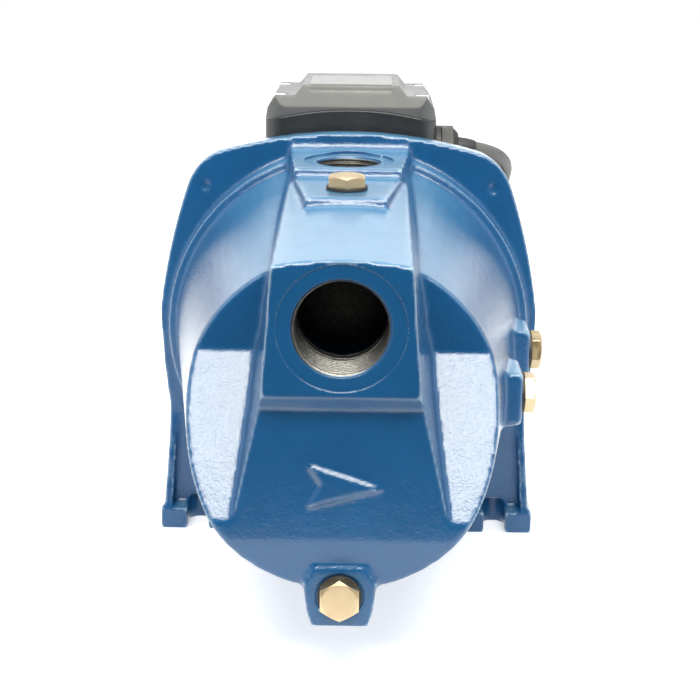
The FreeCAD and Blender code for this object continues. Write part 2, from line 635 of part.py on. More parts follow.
def motor_bracket():
    """The lantern between pump and motor: square flange, cone, bearing seat and housing register."""
    bracket = on_shaft("motor_bracket", [
        (76, 202), ("register_radius - 4.2", 202), ("register_radius - 4.2", 204),
        ("register_radius - 0.1", 204), ("register_radius - 0.1", 210), (70, 219), (64, 231), (70.5, 233),
        (70.5, "bracket_end"), ("housing_bore - 0.1", "bracket_end"),
        ("housing_bore - 0.1", "bracket_end + 6"), (50, "bracket_end + 6"), (50, 237), (30, 236),
        (27, 240), ("bearing_outer / 2", 240), ("bearing_outer / 2", 227), (14, 227), (14, 223),
        (27, 223), (58, 225), (66, 215)])
    plate = sketch(bracket, offset="flange_at + flange_thick")
    reach, corner = "bolt_offset + ear_radius", "bolt_offset"
    outline(plate, [
        (f"-1 * ({corner})", reach), (corner, reach, "ear_radius"),
        (reach, corner), (reach, f"-1 * ({corner})", "ear_radius"),
        (corner, f"-1 * ({reach})"), (f"-1 * ({corner})", f"-1 * ({reach})", "ear_radius"),
        (f"-1 * ({reach})", f"-1 * ({corner})"), (f"-1 * ({reach})", corner, "ear_radius")])
    circle(plate, 0, 0, 70)
    pad(bracket, plate, 11)
    bolts = sketch(bracket, offset="flange_at + flange_thick + 12")
    for x in ("bolt_offset", "-1 * bolt_offset"):
        for y in ("bolt_offset", "-1 * bolt_offset"):
            circle(bolts, x, y, "bolt_radius + 0.4")
    pocket(bracket, bolts, 14)
    rods = sketch(bracket, offset="bracket_end")
    for x, y in ROD_PLACES:
        circle(rods, x, y, "rod_radius + 0.02")
    pocket(bracket, rods, 7)
    corners = [(x, y) for x in ("bolt_offset", "-1 * bolt_offset") for y in ("bolt_offset", "-1 * bolt_offset")]
    screws("flange_bolts", (0, "flange_at + flange_thick + 11", "shaft_height"), ALONG_Y, corners,
           "bolt_radius - 0.05", 19.5, 6.5, 5.3, hexagonal=True)


ROD_REACH = "rod_circle * 0.70711"
ROD_PLACES = [(ROD_REACH, ROD_REACH), (ROD_REACH, f"-1 * {ROD_REACH}"),
              (f"-1 * {ROD_REACH}", ROD_REACH), (f"-1 * {ROD_REACH}", f"-1 * {ROD_REACH}")]


def bearing(prefix, station, bore, outer, width):
    """The two rings of a sealed ball bearing."""
    seat, rim = f"({bore}) / 2", f"({outer}) / 2"
    middle = f"(({bore}) + ({outer})) / 4"
    far = f"{station} + {width}"
    on_shaft(prefix + "_outer_ring", [
        (f"{middle} + 2.2", station), (f"{rim} - 0.02", station), (f"{rim} - 0.02", far),
        (f"{middle} + 2.2", far)])
    on_shaft(prefix + "_inner_ring", [
        (f"{seat} + 0.02", station), (f"{middle} - 2.2", station), (f"{middle} - 2.2", far),
        (f"{seat} + 0.02", far)])


def rotor():
    on_shaft("rotor_shaft", [
        (0, "impeller_at - 2"), ("shaft_end_radius - 1", "impeller_at - 2"),
        ("shaft_end_radius - 1", "impeller_at + 6"), ("shaft_end_radius", "impeller_at + 6"),
        ("shaft_end_radius", 176), ("seal_radius", 176), ("seal_radius", 214),
        ("bearing_bore / 2", 214), ("bearing_bore / 2", 239), (10.5, 239), (10.5, 354), (7.5, 356),
        (7.5, 380), ("shaft_end_radius", 380), ("shaft_end_radius", 412), (0, 412)])
    core = ring("rotor_core", (0, "core_at", "shaft_height"), ALONG_Y, 10.52, "rotor_radius", "core_length")
    turned(core, [(21, -7), (29, -7), (29, 1), (21, 1)])
    turned(core, [(21, "core_length - 1"), (29, "core_length - 1"), (29, "core_length + 7"),
                  (21, "core_length + 7")])
    on_shaft("water_slinger", [
        ("seal_radius + 0.02", 206), (12, 206), (13, 209), (22, 210), (22, 211.5), (12, 212.5),
        ("seal_radius + 0.02", 212.5)])
    bearing("front_bearing", 227, "bearing_bore", "bearing_outer", "bearing_width")
    bearing("rear_bearing", 363, 15, 35, 11)
    fan = on_shaft("cooling_fan", [
        ("shaft_end_radius + 0.02", "fan_at - 2"), (11, "fan_at - 2"), (13, "fan_at"), (36, "fan_at"),
        (36, "fan_at + 2.5"), (12, "fan_at + 3.5"), (11, "fan_at + 14"), ("shaft_end_radius + 0.02", "fan_at + 14")])
    vane = sketch(fan, offset="fan_at + 1")
    outline(vane, [(11, -1.2), ("fan_radius", -1.2), ("fan_radius", 1.2), (11, 1.2)])
    blade = pad(fan, vane, 18)
    repeat(fan, blade, 8, z_axis(fan))
    on_shaft("fan_clip", [
        ("shaft_end_radius + 0.03", "fan_at + 14.1"), (8.4, "fan_at + 14.1"), (8.4, "fan_at + 15.3"),
        ("shaft_end_radius + 0.03", "fan_at + 15.3")])


def stator():
    core = body("stator_core", (0, "core_at", "shaft_height"), ALONG_Y)
    laminations = sketch(core)
    circle(laminations, 0, 0, "housing_bore - 0.05")
    circle(laminations, 0, 0, "rotor_radius + air_gap")
    pad(core, laminations, "core_length")
    slot = sketch(core, offset="core_length")
    outline(slot, [("rotor_radius + 4", -2), ("rotor_radius + 13", -3), ("rotor_radius + 13", 3),
                   ("rotor_radius + 4", 2)])
    opening = pocket(core, slot, "core_length")
    repeat(core, opening, 24, z_axis(core))
    windings = body("stator_windings", (0, "core_at", "shaft_height"), ALONG_Y)
    for near, far in ((0, -17), ("core_length", "core_length + 17")):
        turned(windings, [
            ("rotor_radius + 4.4", near), ("rotor_radius + 13", near), ("rotor_radius + 17", f"({near} + {far}) / 2"),
            ("rotor_radius + 15", far), ("rotor_radius + 6", far)])


def motor_housing():
    """Finned aluminium tube with a flat pad on top for the terminal box."""
    length = "housing_end - bracket_end"
    housing = body("motor_housing", (0, "bracket_end", "shaft_height"), ALONG_Y)
    turned(housing, [("housing_bore", 0), ("housing_bore + housing_wall", 0),
                     ("housing_bore + housing_wall", length), ("housing_bore", length)])
    fin = sketch(housing, offset=5)
    outline(fin, [("housing_bore + 2", "-1 * fin_thick / 2"), ("fin_radius", "-0.7 * fin_thick / 2"),
                  ("fin_radius", "0.7 * fin_thick / 2"), ("housing_bore + 2", "fin_thick / 2")])
    blade = pad(housing, fin, f"{length} - 10")
    repeat(housing, blade, "fin_count", z_axis(housing))
    seat = sketch(housing, offset=3)
    outline(seat, [(-34, "-1 * (housing_bore + 1)"), (34, "-1 * (housing_bore + 1)"),
                   (36, "-1 * (box_foot - shaft_height - 0.05)"), (-36, "-1 * (box_foot - shaft_height - 0.05)")])
    pad(housing, seat, 44)
    wires = sketch(housing, "XZ_Plane", "-1 * (box_foot - shaft_height)")
    circle(wires, 0, 25, 7)
    pocket(housing, wires, 30, back=True)


SCREW_STATION = 377
RADIAL_SCREWS = [("YZ_Plane", 1), ("YZ_Plane", -1), ("XZ_Plane", 1), ("XZ_Plane", -1)]


def motor_rear():
    """Rear shield with its bearing, tie rods, and the fan cover over it."""
    shield = on_shaft("rear_shield", [
        (17.5, 362), (22, 362), (23, 370), (52, 370), (52, 364), ("housing_bore - 0.1", 364),
        ("housing_bore - 0.1", "housing_end"), (62, "housing_end"), (62, 375), (58, 377), (30, "shield_end"),
        (9, "shield_end"), (9, 376), (17.5, 376)])
    ears = sketch(shield, offset="housing_end")
    for x, y in ROD_PLACES:
        circle(ears, x, y, 5)
    pad(shield, ears, 3.9)
    holes = sketch(shield, offset="housing_end + 4")
    for x, y in ROD_PLACES:
        circle(holes, x, y, "rod_radius + 0.02")
    pocket(shield, holes, 5)
    lug = sketch(shield, offset="housing_end + 1")
    outline(lug, [(55, -6), ("cover_radius - 1.9", -6), ("cover_radius - 1.9", 6), (55, 6)])
    arm = pad(shield, lug, 10)
    repeat(shield, arm, 4, z_axis(shield))
    for plane, side in RADIAL_SCREWS:
        hole = sketch(shield, plane, f"{side} * 62")
        circle(hole, 0, SCREW_STATION, 1.97)
        pocket(shield, hole, 10, back=side > 0)

    cover = on_shaft("fan_cover", [
        ("cover_radius - sheet_thick", "cover_at"), ("cover_radius", "cover_at"), ("cover_radius", 431),
        (65, "machine_length"), (0, "machine_length"), (0, "machine_length - sheet_thick"),
        (64.3, "machine_length - sheet_thick"), ("cover_radius - sheet_thick", 430.3)])
    for inner, outer, width, count in ((14, 33, 4.5, 12), (38, 61, 5.5, 20)):
        slot = sketch(cover, offset="machine_length + 1")
        outline(slot, [(inner, -width / 2), (outer, -width / 2), (outer, width / 2), (inner, width / 2)])
        opening = pocket(cover, slot, "sheet_thick + 2")
        repeat(cover, opening, count, z_axis(cover))
    fixings = body("fan_cover_screws", (0, "front_end", "shaft_height"), ALONG_Y)
    for plane, side in RADIAL_SCREWS:
        hole = sketch(cover, plane, f"{side} * 68")
        circle(hole, 0, SCREW_STATION, 2.2)
        pocket(cover, hole, 6, back=side > 0)
        shank = sketch(fixings, plane, f"{side} * 63")
        circle(shank, 0, SCREW_STATION, 1.95)
        pad(fixings, shank, "cover_radius - 62.5", back=side < 0)
        head = sketch(fixings, plane, f"{side} * (cover_radius + 0.02)")
        circle(head, 0, SCREW_STATION, 3.6)
        pad(fixings, head, 2.2, back=side < 0)
    screws("tie_rods", (0, "housing_end + 3.9", "shaft_height"), ALONG_Y, ROD_PLACES,
           "rod_radius", 138, 3.9, 4)
    ring("wave_spring", (0, "374.1", "shaft_height"), ALONG_Y, 14, 17.3, 1.8)


# --------------------------------------------------------------------- terminal box and its cord

def terminal_box():
    """Plastic box on the motor's pad. Base and cover meet along a seam arched over the front."""
    far = "box_front + box_length"
    centres = [(x, y) for x in (-38.5, 38.5) for y in ("9", "box_length - 9")]

    def plan(drawn, inset):
        """The box seen from above, local y running back from its front, with rounded corners."""
        side, near, rear = f"box_half - {inset}", inset, f"box_length - {inset}"
        inner, bend = "box_half - box_corner", f"{inset} - box_corner"
        outline(drawn, [
            (f"-1 * ({inner})", near), (inner, near, bend), (side, "box_corner"),
            (side, "box_length - box_corner", bend), (inner, rear), (f"-1 * ({inner})", rear, bend),
            (f"-1 * ({side})", "box_length - box_corner"), (f"-1 * ({side})", "box_corner", bend)])

    def corners_off(owner):
        """Leaves only what lies inside the box's plan."""
        edge = sketch(owner)
        outline(edge, [(-80, -20), (80, -20), (80, "box_length + 20"), (-80, "box_length + 20")])
        plan(edge, 0)
        pocket(owner, edge, 80, back=True)

    base = body("terminal_box_base", (0, "box_front", "box_foot"))
    front = sketch(base, "XZ_Plane")
    outline(front, [("-1 * box_half", 0), ("box_half", 0), ("box_half", "box_seam - box_foot", -172),
                    ("-1 * box_half", "box_seam - box_foot")])
    pad(base, front, "box_length", back=True)
    corners_off(base)
    room = sketch(base, offset=60)
    plan(room, 2.5)
    pocket(base, room, 57)
    posts = sketch(base, offset=2)
    for x, y in centres:
        circle(posts, x, y, 4.6)
    pad(base, posts, "box_seam - box_foot - 2")
    threads = sketch(base, offset="box_seam - box_foot + 1")
    for x, y in centres:
        circle(threads, x, y, 1.6)
    pocket(base, threads, 22)
    wires = sketch(base, offset=4)
    circle(wires, 0, 45.5, 7)
    pocket(base, wires, 6)
    entry = sketch(base, "YZ_Plane", "box_half + 1")
    circle(entry, "gland_at - box_front", "gland_height - box_foot", 7.55)
    pocket(base, entry, 6)

    cover = body("terminal_box_cover", (0, "box_front", "box_foot"))
    rise = "box_seam - box_foot"
    shelf, top = "box_shelf - box_foot", "box_top - box_foot"
    front = sketch(cover, "XZ_Plane")
    outline(front, [
        ("-1 * box_half", rise, 172), ("box_half", rise), ("box_half - 1.4", f"{rise} + 7"),
        ("box_half - 6", shelf), ("30", shelf), ("25.5", top), ("-25.5", top), ("-30", shelf),
        ("-1 * (box_half - 6)", shelf), ("-1 * (box_half - 1.4)", f"{rise} + 7")])
    pad(cover, front, "box_length", back=True)
    corners_off(cover)
    slopes = sketch(cover, "YZ_Plane", "-1 * box_half - 1")
    outline(slopes, [(-1, f"{rise} + 8"), (0, f"{rise} + 8"), (3.5, f"{top} + 1"), (-1, f"{top} + 1")])
    outline(slopes, [("box_length", f"{rise} + 8"), ("box_length + 1", f"{rise} + 8"),
                     ("box_length + 1", f"{top} + 1"), ("box_length - 3.5", f"{top} + 1")])
    pocket(cover, slopes, "2 * box_half + 2", back=True)
    room = sketch(cover, offset=f"{rise} - 1")
    outline(room, [(-22, 3), (22, 3), (22, "box_length - 3"), (-22, "box_length - 3")])
    pocket(cover, room, "box_top - box_seam - 1.5", back=True)
    recess = sketch(cover, offset=f"{shelf} + 1")
    for x, y in centres:
        circle(recess, x, y, 4.2)
    pocket(cover, recess, 3.2)
    passage = sketch(cover, offset=f"{shelf} + 1")
    for x, y in centres:
        circle(passage, x, y, 1.9)
    pocket(cover, passage, 20)
    screws("cover_screws", (0, "box_front", "box_shelf - 2.2"), UPRIGHT, centres, 1.58, 30, 3.6, 2)
    label = body("label_plate", (0, "box_front", "box_top"))
    sheet_of = sketch(label, offset=0.01)
    outline(sheet_of, [(-22, 4.5), (22, 4.5), (22, 46), (-22, 46)])
    pad(label, sheet_of, 0.4)

    block = body("terminal_block", (0, "box_front + 16", "box_foot + 3"))
    footprint = sketch(block)
    outline(footprint, [(-24, -7), (24, -7), (24, 7), (-24, 7)])
    pad(block, footprint, 13)
    clamps = sketch(block, offset=14)
    for x in (-18, -6, 6, 18):
        circle(clamps, x, 0, 2.6)
    pocket(block, clamps, 6)
    capacitor = body("run_capacitor", (-33, "box_front + 46", "box_foot + 18"), ALONG_X)
    turned(capacitor, [(0, 0), (13, 0), (14, 1.5), (14, 58), (12, 60), (0, 60)])
    ring("capacitor_clip", (-8, "box_front + 46", "box_foot + 18"), ALONG_X, 14.02, 14.9, 12)


def cable_entry():
    """Gland in the box's right-hand wall, its nut, and the cord's tapered strain relief."""
    at = ("box_half", "gland_at", "gland_height")
    gland = body("cable_gland", at, ALONG_X)
    turned(gland, [("cord_diameter / 2 + 2", -4), (7.5, -4), (7.5, 0.01), (11, 0.01), (11, 3),
                   (8, 3.2), (8, 9), ("cord_diameter / 2 + 2", 9)])
    nut = body("gland_nut", at, ALONG_X)
    grips = sketch(nut, offset=3.3)
    hexagon(grips, 0, 0, 10.3)
    pad(nut, grips, 6.5)
    turned(nut, [(5, 9.7), (9.6, 9.7), (9.2, 10.6), (7, 12.6), (5, 12.6)])
    opening = sketch(nut, offset=13)
    circle(opening, 0, 0, "cord_diameter / 2 + 1.96")
    pocket(nut, opening, 5)
    seat = sketch(nut, offset=9.1)
    circle(seat, 0, 0, 8.05)
    pocket(nut, seat, 7)
    turned(body("cord_relief", at, ALONG_X), [
        ("cord_diameter / 2 + 0.02", 0), ("cord_diameter / 2 + 1.9", 0), ("cord_diameter / 2 + 1.9", 13),
        ("cord_diameter / 2 + 0.7", "relief_length"), ("cord_diameter / 2 + 0.02", "relief_length")])


# The cord's route, (x, station, height): out of the gland, down behind the flange, along the floor.
FLOOR = "cord_diameter / 2"
ROUTE = [
    ("box_half", "gland_at", "gland_height"), (61, 240, 207), (74.3, 245.1, 204.2), (84.1, 254.6, 199.3),
    (88.8, 266.2, 192), (88.4, 277.1, 182.5), (85.6, 284.1, 169.5), (84, 288, 145.9), (84.5, 289.5, 110),
    (86.6, 291, 74), (88.6, 297, 42), (88.8, 310.5, 20), (86.6, 328, 8.2), (82, 350, FLOOR),
    (73.5, 384, FLOOR), (60, 423, FLOOR), (49.8, 460, FLOOR), ("coil_radius + coil_pitch", "coil_at", FLOOR)]
TAIL = [
    (0, "coil_at + coil_radius + 1.25 * coil_pitch", "coil_pitch * 1.5 - 0.05"), (-11, 542.8, 11.9),
    (-22.5, 543.4, 15.4), (-34, 543.8, "plug_radius")]


def cord_tube(name, route):
    """A round tube of straight runs joined by tangent arcs. Returns its centre line's length."""
    spots = [V(value(x), value(station) - HALF, value(height)) for x, station, height in route]
    edges, here, radii = [], spots[0], []
    for before, corner, after in zip(spots, spots[1:], spots[2:]):
        arriving, leaving = (corner - before), (after - corner)
        setback = 0.45 * min(arriving.Length, leaving.Length)
        turn_angle = arriving.getAngle(leaving)
        radii.append(setback / math.tan(turn_angle / 2))
        begin = corner - arriving.normalize() * setback
        end = corner + leaving.normalize() * setback
        sagitta = radii[-1] * (1 / math.cos(turn_angle / 2) - 1)
        middle = corner + (begin + end - corner * 2).normalize() * sagitta
        edges += [Part.LineSegment(here, begin).toShape(), Part.Arc(begin, middle, end).toShape()]
        here = end
    edges.append(Part.LineSegment(here, spots[-1]).toShape())
    path = Part.Wire(edges)
    radius = value("cord_diameter / 2")
    section = Part.Wire(Part.Circle(spots[0], spots[1] - spots[0], radius).toShape())
    tube = path.makePipeShell([section], True, False)
    expected = math.pi * radius ** 2 * path.Length
    print(name, "length", round(path.Length, 1), "radii", [round(r) for r in radii])
    if abs(tube.Volume / expected - 1) > 0.01:
        raise RuntimeError(f"{name}: volume {tube.Volume:.0f}, section times length {expected:.0f}")
    new = doc.addObject("Part::Feature", name)
    new.Label = name
    new.Shape = tube
    new.Placement = FreeCAD.Placement()
    pieces.append(new)
    return path.Length


def mains_lead():
    """The cord in three stretches, the middle one wound as a flat coil in two layers."""
    run = cord_tube("power_cord", ROUTE)
    ring("cord_coil", (0, "coil_at", 0), UPRIGHT, "coil_radius - 1.5 * coil_pitch",
         "coil_radius + 1.5 * coil_pitch", "2 * coil_pitch")
    tail = cord_tube("cord_tail", TAIL)
    wound = 2 * math.pi * value("coil_turns * coil_radius")
    print("whole cord", round(run + wound + tail))
    plug = body("plug_housing", TAIL[-1], FreeCAD.Rotation(V(0, 1, 0), -90))
    turned(plug, [(0, 0.01), (5.2, 0.01), (6.5, 12), (12, 14), ("plug_radius - 1", 22), ("plug_radius", 25),
                  ("plug_radius", "plug_length - 1"), ("plug_radius - 1", "plug_length"), (0, "plug_length")])
    blades = body("plug_pins", TAIL[-1], FreeCAD.Rotation(V(0, 1, 0), -90))
    prongs = sketch(blades, offset="plug_length + 0.01")
    for y in (-9.5, 9.5):
        circle(prongs, 0, y, 2.4)
    pad(blades, prongs, 19)


# --------------------------------------------------------------------------------------- build

pump_body()
service_plug("priming_plug", "priming_washer", (0, "priming_at", "ledge_height"), UPRIGHT)
service_plug("drain_plug", "drain_washer",
             (0, "drain_face + spot_depth / 2", "drain_height"), AGAINST_Y)
service_plug("suction_gauge_plug", "suction_gauge_washer",
             ("suction_gauge_face", "suction_gauge_at", "suction_gauge_height"), ALONG_X)
service_plug("pressure_gauge_plug", "pressure_gauge_washer",
             ("pressure_gauge_face", "pressure_gauge_at", "pressure_gauge_height"), ALONG_X, 17)
hydraulics()
motor_bracket()
rotor()
stator()
motor_housing()
motor_rear()
terminal_box()
cable_entry()
mains_lead()

doc.recompute()
for made in doc.Objects:
    if "Invalid" in made.State or "Error" in made.State:
        raise RuntimeError(f"{made.Name} is {made.State}")
for piece in pieces:
    if piece.Shape.isNull() or not piece.Shape.isValid():
        raise RuntimeError(f"{piece.Label} has no valid shape")
os.makedirs("parts", exist_ok=True)
for piece in pieces:
    piece.Shape.exportStep("parts/" + piece.Label + ".step")
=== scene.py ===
import json
import math

import bmesh
import bpy
from mathutils import Matrix, Vector


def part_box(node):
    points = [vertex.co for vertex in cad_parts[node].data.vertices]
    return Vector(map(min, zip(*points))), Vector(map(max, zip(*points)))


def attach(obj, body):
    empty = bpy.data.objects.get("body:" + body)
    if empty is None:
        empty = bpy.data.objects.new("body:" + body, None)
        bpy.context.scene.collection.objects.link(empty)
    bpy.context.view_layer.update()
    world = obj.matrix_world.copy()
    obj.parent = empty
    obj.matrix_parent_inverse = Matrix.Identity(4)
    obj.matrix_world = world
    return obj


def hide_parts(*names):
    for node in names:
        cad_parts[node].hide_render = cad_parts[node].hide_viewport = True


# Looks of the shallow well jet pump, in metres, in the CAD's frame: X to the right seen from the
# suction side, Y from the suction port towards the motor, Z up from the floor.

MM = 0.001
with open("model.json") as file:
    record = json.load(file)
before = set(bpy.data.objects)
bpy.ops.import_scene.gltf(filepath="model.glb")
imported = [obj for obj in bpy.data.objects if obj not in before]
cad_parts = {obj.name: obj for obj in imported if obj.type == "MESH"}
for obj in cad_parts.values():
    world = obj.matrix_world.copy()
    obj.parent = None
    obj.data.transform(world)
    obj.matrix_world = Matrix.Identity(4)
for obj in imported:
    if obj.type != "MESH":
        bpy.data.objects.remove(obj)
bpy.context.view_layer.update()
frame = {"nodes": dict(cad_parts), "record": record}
nodes = frame["nodes"]

SHAFT_HEIGHT = (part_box("rotor_shaft")[0].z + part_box("rotor_shaft")[1].z) / 2
SUCTION_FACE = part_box("pump_body")[0].y
MOUNTS = {mount["name"]: mount for mount in frame["record"]["mounts"]}


def station(along):
    """Row y of a distance in mm behind the suction face."""
    return SUCTION_FACE + along * MM


# ------------------------------------------------------------------------------------ materials

class Finish:
    """A node material being put together: one principled shader and small helpers around it."""

    def __init__(self, name, roughness=0.5, metallic=0.0, coat=0.0, coat_roughness=0.08, specular=0.5):
        self.material = bpy.data.materials.new(name)
        self.material.use_nodes = True
        self.tree = self.material.node_tree
        self.shader = self.tree.nodes["Principled BSDF"]
        self.shader.inputs["Roughness"].default_value = roughness
        self.shader.inputs["Metallic"].default_value = metallic
        self.shader.inputs["Coat Weight"].default_value = coat
        self.shader.inputs["Coat Roughness"].default_value = coat_roughness
        self.shader.inputs["Specular IOR Level"].default_value = specular
        self.place = self.tree.nodes.new("ShaderNodeTexCoord").outputs["Object"]
        self.normal = None

    def link(self, output, target):
        self.tree.links.new(output, target)

    def stretched(self, scale):
        """Object coordinates scaled per axis, for grain that runs one way."""
        mapping = self.tree.nodes.new("ShaderNodeMapping")
        mapping.inputs["Scale"].default_value = scale
        self.link(self.place, mapping.inputs["Vector"])
        return mapping.outputs["Vector"]

    def noise(self, size, detail=3.0, rough=0.55, vector=None):
        """Cloudy noise whose blobs are about size metres across."""
        made = self.tree.nodes.new("ShaderNodeTexNoise")
        made.inputs["Scale"].default_value = 1 / size
        made.inputs["Detail"].default_value = detail
        made.inputs["Roughness"].default_value = rough
        self.link(vector or self.place, made.inputs["Vector"])
        return made.outputs["Fac"]

    def cells(self, size):
        made = self.tree.nodes.new("ShaderNodeTexVoronoi")
        made.inputs["Scale"].default_value = 1 / size
        self.link(self.place, made.inputs["Vector"])
        return made.outputs["Distance"]

    def ramp(self, factor, stops):
        """Values or colours along a ramp: stops are (position, value) or (position, (r, g, b))."""
        made = self.tree.nodes.new("ShaderNodeValToRGB")
        elements = made.color_ramp.elements
        while len(elements) < len(stops):
            elements.new(0.5)
        for element, (position, shade) in zip(elements, stops):
            element.position = position
            element.color = (*shade, 1) if isinstance(shade, tuple) else (shade, shade, shade, 1)
        self.link(factor, made.inputs["Fac"])
        return made.outputs["Color"]

    def mix(self, factor, first, second):
        """Blends two colours, each a socket or (r, g, b)."""
        made = self.tree.nodes.new("ShaderNodeMix")
        made.data_type = "RGBA"
        self.link(factor, made.inputs["Factor"])
        for socket, shade in ((made.inputs[6], first), (made.inputs[7], second)):
            if isinstance(shade, tuple):
                socket.default_value = (*shade, 1)
            else:
                self.link(shade, socket)
        return made.outputs[2]

    def rounded(self, radius):
        """Shades sharp edges as if they had that radius."""
        made = self.tree.nodes.new("ShaderNodeBevel")
        made.samples = 6
        made.inputs["Radius"].default_value = radius
        self.normal = made.outputs["Normal"]

    def bump(self, height, depth):
        """Adds relief of that depth in metres on top of any relief so far."""
        made = self.tree.nodes.new("ShaderNodeBump")
        made.inputs["Distance"].default_value = depth
        made.inputs["Strength"].default_value = 1.0
        self.link(height, made.inputs["Height"])
        if self.normal is not None:
            self.link(self.normal, made.inputs["Normal"])
        self.normal = made.outputs["Normal"]

    def tube(self, centre, axis, radius, near, far):
        """1 inside a cylinder that runs from near to far of centre along axis, 0 elsewhere."""
        def vector(operation, first, second):
            made = self.tree.nodes.new("ShaderNodeVectorMath")
            made.operation = operation
            self.link(first, made.inputs[0])
            if isinstance(second, tuple):
                made.inputs[1].default_value = second
            elif second is not None:
                self.link(second, made.inputs["Scale" if operation == "SCALE" else 1])
            return made.outputs["Value" if operation in ("DOT_PRODUCT", "LENGTH") else "Vector"]

        def number(operation, first, second):
            made = self.tree.nodes.new("ShaderNodeMath")
            made.operation = operation
            self.link(first, made.inputs[0])
            if isinstance(second, float):
                made.inputs[1].default_value = second
            else:
                self.link(second, made.inputs[1])
            return made.outputs["Value"]

        offset = vector("SUBTRACT", self.place, tuple(centre))
        along = vector("DOT_PRODUCT", offset, axis)
        direction = self.tree.nodes.new("ShaderNodeCombineXYZ")
        for socket, part in zip(direction.inputs, axis):
            socket.default_value = part
        across = vector("SUBTRACT", offset, vector("SCALE", direction.outputs["Vector"], along))
        radial = number("LESS_THAN", vector("LENGTH", across, None), radius)
        ahead = number("GREATER_THAN", along, near)
        behind = number("LESS_THAN", along, far)
        return number("MULTIPLY", radial, number("MULTIPLY", ahead, behind))

    def painted_sheen_mask(self, low, high):
        """0 to 1 as the surface turns from steep to level, broken up by noise; masks the painted sheen on
        upward faces.
        """
        made = self.tree.nodes.new("ShaderNodeSeparateXYZ")
        self.link(self.tree.nodes.new("ShaderNodeNewGeometry").outputs["Normal"], made.inputs["Vector"])
        level = self.ramp(made.outputs["Z"], [(low, 0.0), (high, 1.0)])
        return self.mix(self.noise(14 * MM), level, self.mix(level, (0.0, 0.0, 0.0), (0.6, 0.6, 0.6)))

    def either(self, first, second):
        made = self.tree.nodes.new("ShaderNodeMath")
        made.operation = "MAXIMUM"
        self.link(first, made.inputs[0])
        self.link(second, made.inputs[1])
        return made.outputs["Value"]

    def colour(self, shade):
        target = self.shader.inputs["Base Color"]
        if isinstance(shade, tuple):
            target.default_value = (*shade, 1)
        else:
            self.link(shade, target)

    def varied(self, shade, amount, size):
        """Base colour that drifts by amount either way over blobs of that size."""
        low = tuple(max(0.0, part * (1 - amount)) for part in shade)
        high = tuple(min(1.0, part * (1 + amount)) for part in shade)
        self.colour(self.mix(self.noise(size), low, high))

    def roughness(self, factor, low, high):
        self.link(self.ramp(factor, [(0.3, low), (0.7, high)]), self.shader.inputs["Roughness"])

    def done(self):
        if self.normal is not None:
            self.link(self.normal, self.shader.inputs["Normal"])
            self.link(self.normal, self.shader.inputs["Coat Normal"])
        return self.material


def cast_enamel(name, worn_and_highlit_edges=True, bores=()):
    """Thick glossy blue enamel over sand-cast iron, thin on sharp edges, which are paler partly from thin
    enamel and partly as a painted highlight; a painted sheen lightens upward faces; bare dark iron in the
    bores.
    """
    look = Finish(name, roughness=0.4, coat=1.0, coat_roughness=0.13, specular=0.12)
    blue = look.mix(look.noise(18 * MM), (0.005, 0.066, 0.172), (0.007, 0.090, 0.228))
    # painted sheen: upward faces are lightened towards pale blue, standing in for the light they catch
    # from above
    blue = look.mix(look.painted_sheen_mask(0.6, 0.97), blue, (0.06, 0.20, 0.33))
    if worn_and_highlit_edges:
        # pale sharp edges: partly real thin enamel, partly a painted highlight standing in for the light
        # caught by rounded edges
        edge = look.tree.nodes.new("ShaderNodeNewGeometry").outputs["Pointiness"]
        worn_and_highlight = look.ramp(edge, [(0.53, 0.0), (0.565, 0.8)])
        blue = look.mix(worn_and_highlight, blue, (0.30, 0.46, 0.58))
    if bores:
        bare = look.tube(*bores[0])
        for bore in bores[1:]:
            bare = look.either(bare, look.tube(*bore))
        iron = look.mix(look.noise(0.9 * MM, 2.0), (0.02, 0.02, 0.02), (0.22, 0.22, 0.215))
        blue = look.mix(bare, blue, iron)
        look.link(look.ramp(bare, [(0.0, 1.0), (1.0, 0.0)]), look.shader.inputs["Coat Weight"])
        look.link(look.ramp(bare, [(0.0, 0.0), (1.0, 0.9)]), look.shader.inputs["Metallic"])
    look.colour(blue)
    look.rounded(1.0 * MM)
    look.bump(look.noise(9 * MM, 2.0), 0.26 * MM)
    look.bump(look.noise(1.3 * MM, 3.0, 0.7), 0.21 * MM)
    look.bump(look.ramp(look.cells(3.2 * MM), [(0.0, 0.0), (0.16, 1.0)]), 0.05 * MM)
    return look.done()


def machined(name, shade, roughness, grain, edge=0.5):
    """Turned or ground metal: fine tool marks and slightly broken edges."""
    look = Finish(name, roughness=roughness, metallic=1.0)
    look.varied(shade, 0.08, 9 * MM)
    look.rounded(edge * MM)
    look.bump(look.noise(grain, 2.0), 0.02 * MM)
    look.roughness(look.noise(5 * MM), roughness * 0.8, roughness * 1.3)
    return look.done()


def moulded(name, shade, roughness, grain, depth, coat=0.0, edge=0.6, vary=0.1):
    """Moulded polymer, rubber or painted sheet with a fine even grain."""
    look = Finish(name, roughness=roughness, coat=coat, coat_roughness=0.12)
    look.varied(shade, vary, 14 * MM)
    look.rounded(edge * MM)
    look.bump(look.noise(grain, 2.0), depth)
    look.roughness(look.noise(11 * MM), roughness * 0.85, roughness * 1.15)
    return look.done()


def stacked_steel(name):
    """Punched sheets stacked along the shaft."""
    look = Finish(name, roughness=0.45, metallic=0.9)
    layers = look.noise(1 * MM, 1.0, vector=look.stretched((0.02, 1.6, 0.02)))
    look.colour(look.mix(layers, (0.10, 0.10, 0.11), (0.26, 0.26, 0.27)))
    look.bump(layers, 0.08 * MM)
    return look.done()


def wound_copper(name):
    """Varnished wire, laid in bundles."""
    look = Finish(name, roughness=0.3, metallic=0.7, coat=0.6)
    wires = look.noise(1.3 * MM, 2.0, vector=look.stretched((1.0, 0.3, 1.0)))
    look.colour(look.mix(wires, (0.20, 0.06, 0.02), (0.60, 0.26, 0.11)))
    look.bump(wires, 0.3 * MM)
    return look.done()


